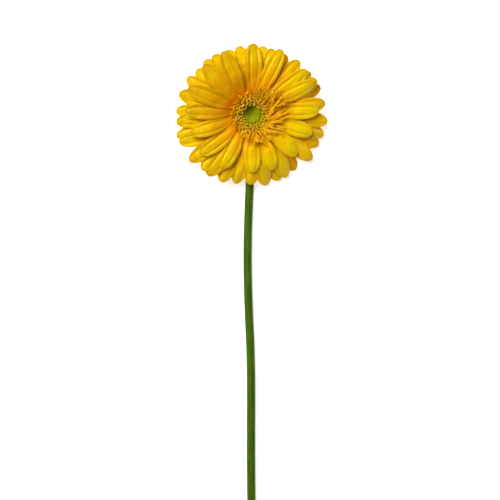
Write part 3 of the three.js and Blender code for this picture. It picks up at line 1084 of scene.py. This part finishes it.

# %% [markdown]
# ## Effects that the materials share
# Long fine veins, a soft mottle and each piece's own tone appear on petals, florets and leaves alike; on
# the petals the tone also holds painted light and shade. The buds get a painted light in lime near a spot
# on the lit side of the disc and a painted shade in dark olive near one on its shaded side, and the tubes
# turn greener near the lit one. Each effect is a node group, made once and placed in the materials with
# values of its own.


# %% Shared node groups
def new_group(name, takes, gives):
    group = bpy.data.node_groups.new(name, "ShaderNodeTree")
    for way, sockets in (("INPUT", takes), ("OUTPUT", gives)):
        for socket, kind in sockets.items():
            group.interface.new_socket(name=socket, in_out=way, socket_type="NodeSocket" + kind)
    start = group.nodes.new("NodeGroupInput")
    end = group.nodes.new("NodeGroupOutput")
    return group, start.outputs, end.inputs


def make_veins():
    group, start, end = new_group(
        "long_veins", {"UV": "Vector", "Count": "Float", "Waves": "Float"}, {"Veins": "Float"}
    )
    place = add_node(group, "SeparateXYZ", {0: start["UV"]}).outputs
    tone = add_node(group, "Attribute", attribute_name="tone").outputs["Fac"]
    across = math_node(group, "MULTIPLY", place["X"], start["Count"])
    along = math_node(group, "MULTIPLY", place["Y"], start["Waves"])
    spot = add_node(group, "CombineXYZ", {0: across, 1: along, 2: math_node(group, "MULTIPLY", tone, 20)})
    grain = add_node(group, "TexNoise", {"Vector": spot.outputs[0], "Scale": 1, "Detail": 3})
    group.links.new(grain.outputs["Fac"], end["Veins"])
    return group


def make_mottle():
    group, start, end = new_group("soft_mottle", {"Size": "Float"}, {"Mottle": "Float"})
    place = add_node(group, "TexCoord").outputs["Object"]
    grain = add_node(group, "TexNoise", {"Vector": place, "Scale": start["Size"], "Detail": 4})
    group.links.new(grain.outputs["Fac"], end["Mottle"])
    return group


def make_from_spot():
    """How far a point is from a given spot, in millimetres."""
    group, start, end = new_group("from_spot", {"Spot": "Vector"}, {"Millimetres": "Float"})
    place = add_node(group, "TexCoord").outputs["Object"]
    away = add_node(group, "VectorMath", {0: place, 1: start["Spot"]}, operation="DISTANCE").outputs["Value"]
    group.links.new(math_node(group, "DIVIDE", away, MM), end["Millimetres"])
    return group


def make_tone():
    """Each piece a little lighter or darker, and turned a little in hue with it; on the petals this also
    holds painted light and shade.
    """
    takes = {"Color": "Color", "Spread": "Float", "Turn": "Float"}
    group, start, end = new_group("own_tone", takes, {"Color": "Color"})
    tone = add_node(group, "Attribute", attribute_name="tone").outputs["Fac"]
    shift = wander(group, tone, start["Spread"])
    hue = math_node(group, "ADD", math_node(group, "MULTIPLY", shift, start["Turn"]), 0.5)
    value = math_node(group, "ADD", shift, 1)
    shade = add_node(group, "HueSaturation", {"Color": start["Color"], "Hue": hue, "Value": value})
    group.links.new(shade.outputs["Color"], end["Color"])
    return group


groups = {"veins": make_veins(), "mottle": make_mottle(), "tone": make_tone(), "from_spot": make_from_spot()}


def use_group(tree, name, inputs):
    return add_node(tree, "Group", inputs, node_tree=groups[name]).outputs[0]


def own_tone(tree, shade, spread, turn=0.06):
    return use_group(tree, "tone", {"Color": shade, "Spread": spread, "Turn": turn})


def coat(made, shade, relief=None, strength=0, depth=0):
    """Give a material's shader its colour, and a fine relief where there is one."""
    tree = made.node_tree
    shader = tree.nodes["Principled BSDF"]
    tree.links.new(shade, shader.inputs["Base Color"])
    if relief:
        bump = add_node(tree, "Bump", {"Height": relief, "Strength": strength, "Distance": depth})
        tree.links.new(bump.outputs["Normal"], shader.inputs["Normal"])
    return made


print("groups:", sorted(groups))

# %% [markdown]
# ## Petal colours
# A petal is orange at its root, golden along its middle and lemon at its tip, with fine lengthwise veins.
# Towards its sides it gets a painted shade, and a thin painted light runs along its rim. The colours follow
# the petal's own UV map: V runs from root to tip and U from edge to edge. The underside is paler and its
# veins are stronger.

# %% Petal materials
PETAL_UPPER = (
    (0, 236, 142, 1),
    (0.12, 254, 172, 2),
    (0.32, 254, 184, 1),
    (0.55, 249, 199, 1),
    (1, 227, 190, 2),
)
PETAL_UNDER = ((0, 190, 165, 40), (0.4, 226, 184, 34), (1, 236, 200, 48))
# Painted shade towards a petal's sides and a thin painted light along its rim
PETAL_SIDE_SHADE = colour(216, 158, 1)
PETAL_RIM_LIGHT = colour(254, 214, 16)
TIP_BLUSH = colour(226, 150, 6)


def petal_finish(name, stops, vein_depth):
    glow = dict(Subsurface_Weight=0.25, Subsurface_Scale=0.0015, Subsurface_Radius=(1, 0.55, 0.05))
    shine = dict(Roughness=0.42, Specular_IOR_Level=0.5, Specular_Tint=(1, 0.8, 0.1, 1))
    made, tree = new_material(name, **glow, **shine)
    uv = add_node(tree, "UVMap").outputs["UV"]
    place = add_node(tree, "SeparateXYZ", {0: uv}).outputs
    veins = use_group(tree, "veins", {"UV": uv, "Count": 34, "Waves": 1.6})
    mottle = use_group(tree, "mottle", {"Size": 90})
    shade = ramp(tree, math_node(tree, "ADD", place["Y"], wander(tree, mottle, 0.12)), stops)
    dim = remap(tree, veins, 0.35, 0.65, 1 - vein_depth, 1)
    shade = mixed(tree, 1, shade, dim, "MULTIPLY")
    from_middle = math_node(tree, "ABSOLUTE", math_node(tree, "SUBTRACT", place["X"], 0.5))
    # painted shade: darker towards the petal's sides
    shade = mixed(tree, remap(tree, from_middle, 0.2, 0.44, 0, 0.4), shade, PETAL_SIDE_SHADE)
    # painted light: a thin lemon line along the rim
    shade = mixed(tree, remap(tree, from_middle, 0.465, 0.49, 0, 0.6), shade, PETAL_RIM_LIGHT)
    blush = math_node(tree, "MULTIPLY", remap(tree, mottle, 0.5, 0.7), remap(tree, place["Y"], 0.7, 0.95))
    shade = mixed(tree, blush, shade, TIP_BLUSH)
    return coat(made, own_tone(tree, shade, 0.26, 0.05), veins, 0.25, 0.2 * MM)


petal_upper = petal_finish("petal_upper", PETAL_UPPER, 0.12)
petal_under = petal_finish("petal_under", PETAL_UNDER, 0.25)
for piece in petal_pieces:
    dress(piece, petal_upper, petal_under)
print("petal materials on", [piece.name for piece in petal_pieces])

# %% [markdown]
# ## Floret colours
# The trans florets are a warmer orange-yellow than the petals, deepest between their roots. The disc
# florets go from orange tubes to golden mouths, their styles are cream, and the closed buds are
# green with lime tips. The tubes and buds carry how far up each point is, and their ramps follow it.
# On the lit side of the eye the buds get a painted light in lime and the tubes turn yellow-green, and
# on its shaded side the buds get a painted shade in dark olive.


# %% Floret materials
# A spot on the lit side of the eye's hollow and one on its shaded side, for painted light and painted shade
LIT_SPOT = head_frame @ Vector((3 * MM, -3.2 * MM, 5 * MM))
SHADED_SPOT = head_frame @ Vector((-1 * MM, 3 * MM, 5 * MM))
STRAND_RADIUS = (1, 0.85, 0.1)
STRAND_GLOW = dict(Roughness=0.5, Subsurface_Weight=0.4, Subsurface_Scale=0.0012)
FRINGE = ((0, 222, 112, 2), (0.35, 252, 158, 4), (0.7, 255, 186, 14), (1, 255, 200, 30))
TUBES = ((0, 238, 162, 2), (0.6, 255, 182, 6), (0.9, 255, 198, 12), (1, 254, 210, 32))
STYLES = ((0, 180, 122, 4), (0.8, 232, 174, 30), (0.92, 254, 214, 76), (1, 255, 230, 110))
BUDS = ((0, 96, 104, 2), (0.55, 140, 148, 8), (0.9, 176, 182, 10), (1, 206, 206, 20))
# Patches round the spots: yellow-green tubes near the lit side, painted light in lime and painted shade in
# dark olive on the buds
GREEN_NEAR = (LIT_SPOT, 5.5, 10, 0.62, colour(205, 194, 12))
LIT_LIME_NEAR = (LIT_SPOT, 2.5, 8, 0.85, colour(186, 196, 8))
SHADE_OLIVE_NEAR = (SHADED_SPOT, 1.5, 5, 0.75, colour(96, 108, 2))


def height_finish(name, stops, spread, patches=(), **numbers):
    """A finish whose colour follows the height along each small tube, with patches round spots; on the buds
    they are painted light and painted shade.
    """
    made, tree = new_material(
        name, Specular_IOR_Level=0.15, Subsurface_Radius=STRAND_RADIUS, **numbers
    )
    along = add_node(tree, "Attribute", attribute_name="along").outputs["Fac"]
    mottle = use_group(tree, "mottle", {"Size": 600})
    shade = ramp(tree, math_node(tree, "ADD", along, wander(tree, mottle, 0.25)), stops)
    for spot, near, far, share, patch in patches:
        away = use_group(tree, "from_spot", {"Spot": spot})
        shade = mixed(tree, remap(tree, away, near, far, share, 0), shade, patch)
    return coat(made, own_tone(tree, shade, spread), mottle, 0.3, 0.1 * MM)


def fringe_finish():
    made, tree = new_material(
        "trans_orange", Specular_IOR_Level=0.06, Subsurface_Radius=STRAND_RADIUS, **STRAND_GLOW
    )
    uv = add_node(tree, "UVMap").outputs["UV"]
    place = add_node(tree, "SeparateXYZ", {0: uv}).outputs
    veins = use_group(tree, "veins", {"UV": uv, "Count": 7, "Waves": 1.5})
    shade = ramp(tree, place["Y"], FRINGE)
    shade = mixed(tree, 1, shade, remap(tree, veins, 0.3, 0.7, 0.84, 1), "MULTIPLY")
    return coat(made, own_tone(tree, shade, 0.3), veins, 0.3, 0.15 * MM)


dress(trans_florets, fringe_finish())
dress(disc_tubes, height_finish("tube_gold", TUBES, 0.3, [GREEN_NEAR], **STRAND_GLOW))
dress(disc_styles, height_finish("style_cream", STYLES, 0.15, Roughness=0.6))
dress(disc_buds, height_finish("bud_green", BUDS, 0.3, [LIT_LIME_NEAR, SHADE_OLIVE_NEAR], Roughness=0.4))
print("floret materials done")

# %% [markdown]
# ## Greens
# The stem is a deep green with long pale streaks along its ribs. The bracts are a soft patchy green.
# The hairs are pale and so is the wet pith at the cut.


# %% Green materials
STEM_STREAKS = ((0.3, 50, 80, 2), (0.5, 66, 97, 3), (0.7, 90, 120, 8))
STEM_DARK = colour(58, 84, 4)
BRACT_GREENS = ((0.3, 60, 92, 24), (0.55, 84, 122, 36), (0.75, 112, 146, 56))
PITH_GREENS = ((0.35, 168, 186, 110), (0.6, 206, 214, 150))
HAIR_GREENS = ((0.4, 150, 170, 100), (0.6, 196, 206, 150))


def stem_finish():
    glow = dict(Subsurface_Weight=0.05, Subsurface_Scale=0.001)
    made, tree = new_material("stem_skin", Roughness=0.42, Specular_IOR_Level=0.06, **glow)
    place = add_node(tree, "TexCoord").outputs["Object"]
    stretched = add_node(tree, "Mapping", {"Vector": place, "Scale": (1400, 60, 1400)}).outputs[0]
    streaks = add_node(tree, "TexNoise", {"Vector": stretched, "Scale": 1, "Detail": 3}).outputs["Fac"]
    mottle = use_group(tree, "mottle", {"Size": 60})
    shade = ramp(tree, streaks, STEM_STREAKS)
    shade = mixed(tree, remap(tree, mottle, 0.4, 0.7, 0, 0.4), shade, STEM_DARK)
    return coat(made, shade, streaks, 0.3, 0.15 * MM)


def mottled_finish(name, size, stops, roughness, spread=0, relief=0):
    """A finish in soft patches, and where wanted with each piece's own tone and a fine relief."""
    made, tree = new_material(name, Roughness=roughness)
    mottle = use_group(tree, "mottle", {"Size": size})
    shade = ramp(tree, mottle, stops)
    if spread:
        shade = own_tone(tree, shade, spread)
    return coat(made, shade, mottle if relief else None, relief, 0.2 * MM)


stem.data.materials.clear()
dress(stem, stem_finish(), mottled_finish("pith", 1600, PITH_GREENS, 0.35, relief=0.5))
cut_foot()
dress(stem_hairs, mottled_finish("hair_pale", 400, HAIR_GREENS, 0.5))
dress(involucre, mottled_finish("bract_skin", 300, BRACT_GREENS, 0.5, 0.3, 0.4))
print("green materials done")

# %% [markdown]
# ## What each piece stands for
# Each piece is set to move with the root body, and the plain solid that it stands for is hidden.

# %% Tie the pieces to the frame
STANDS_FOR = (
    (petal_pieces, "ray_petals", "petal_yellow"),
    ([trans_florets], "trans_florets", "floret_orange"),
    ([disc_tubes, disc_styles], "disc_florets", "floret_cream"),
    ([disc_buds], "disc_buds", "bud_green"),
    ([involucre], "involucre", "bract_green"),
    ([stem, stem_hairs], "stem", "stem_green"),
)
for group, node, slot in STANDS_FOR:
    for piece in group:
        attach(piece, "root")
        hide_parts(node)
print("pieces:", [piece.name for group, node, slot in STANDS_FOR for piece in group])

# %% [markdown]
# ## The table and the light
# The flower lies on a white table. One large soft light stands at the upper left and a pale sky fills
# the shadows, so that the petals model softly and the table stays almost white.

# %% Table and light
TABLE_SIZE = 6
KEY_PLACE = Vector((-0.72, 0.9, 1.8))
KEY_SIZE = 1.2
KEY_POWER = 51
SKY_STRENGTH = 0.15
TABLE_GLOW = 0.62

let_go()
bpy.ops.mesh.primitive_plane_add(size=TABLE_SIZE, location=(0, 0, -0.0004))
table = bpy.context.object
table.name = "table"
white = dict(Roughness=0.8, Emission_Color=(1, 1, 1, 1), Emission_Strength=TABLE_GLOW)
table_white, tree = new_material("table_white", **white)
grain = use_group(tree, "mottle", {"Size": 4})
coat(table_white, ramp(tree, grain, ((0, 246, 246, 246), (1, 252, 252, 252))))
dress(table, table_white)

key_data = bpy.data.lights.new("key", "AREA")
set_all(key_data, dict(shape="SQUARE", size=KEY_SIZE, energy=KEY_POWER))
key = put_in_scene("key", key_data)
key.location = KEY_PLACE
key.rotation_euler = (head_centre - KEY_PLACE).to_track_quat("-Z", "Y").to_euler()

world = bpy.data.worlds.new("sky")
world.use_nodes = True
sky = world.node_tree.nodes["Background"]
sky.inputs["Color"].default_value = (1, 1, 1, 1)
seen = add_node(world.node_tree, "LightPath").outputs["Is Camera Ray"]
world.node_tree.links.new(remap(world.node_tree, seen, 0, 1, SKY_STRENGTH, 1), sky.inputs["Strength"])
bpy.context.scene.world = world
bpy.context.scene.view_settings.view_transform = "Standard"
print("key light at", list(KEY_PLACE))
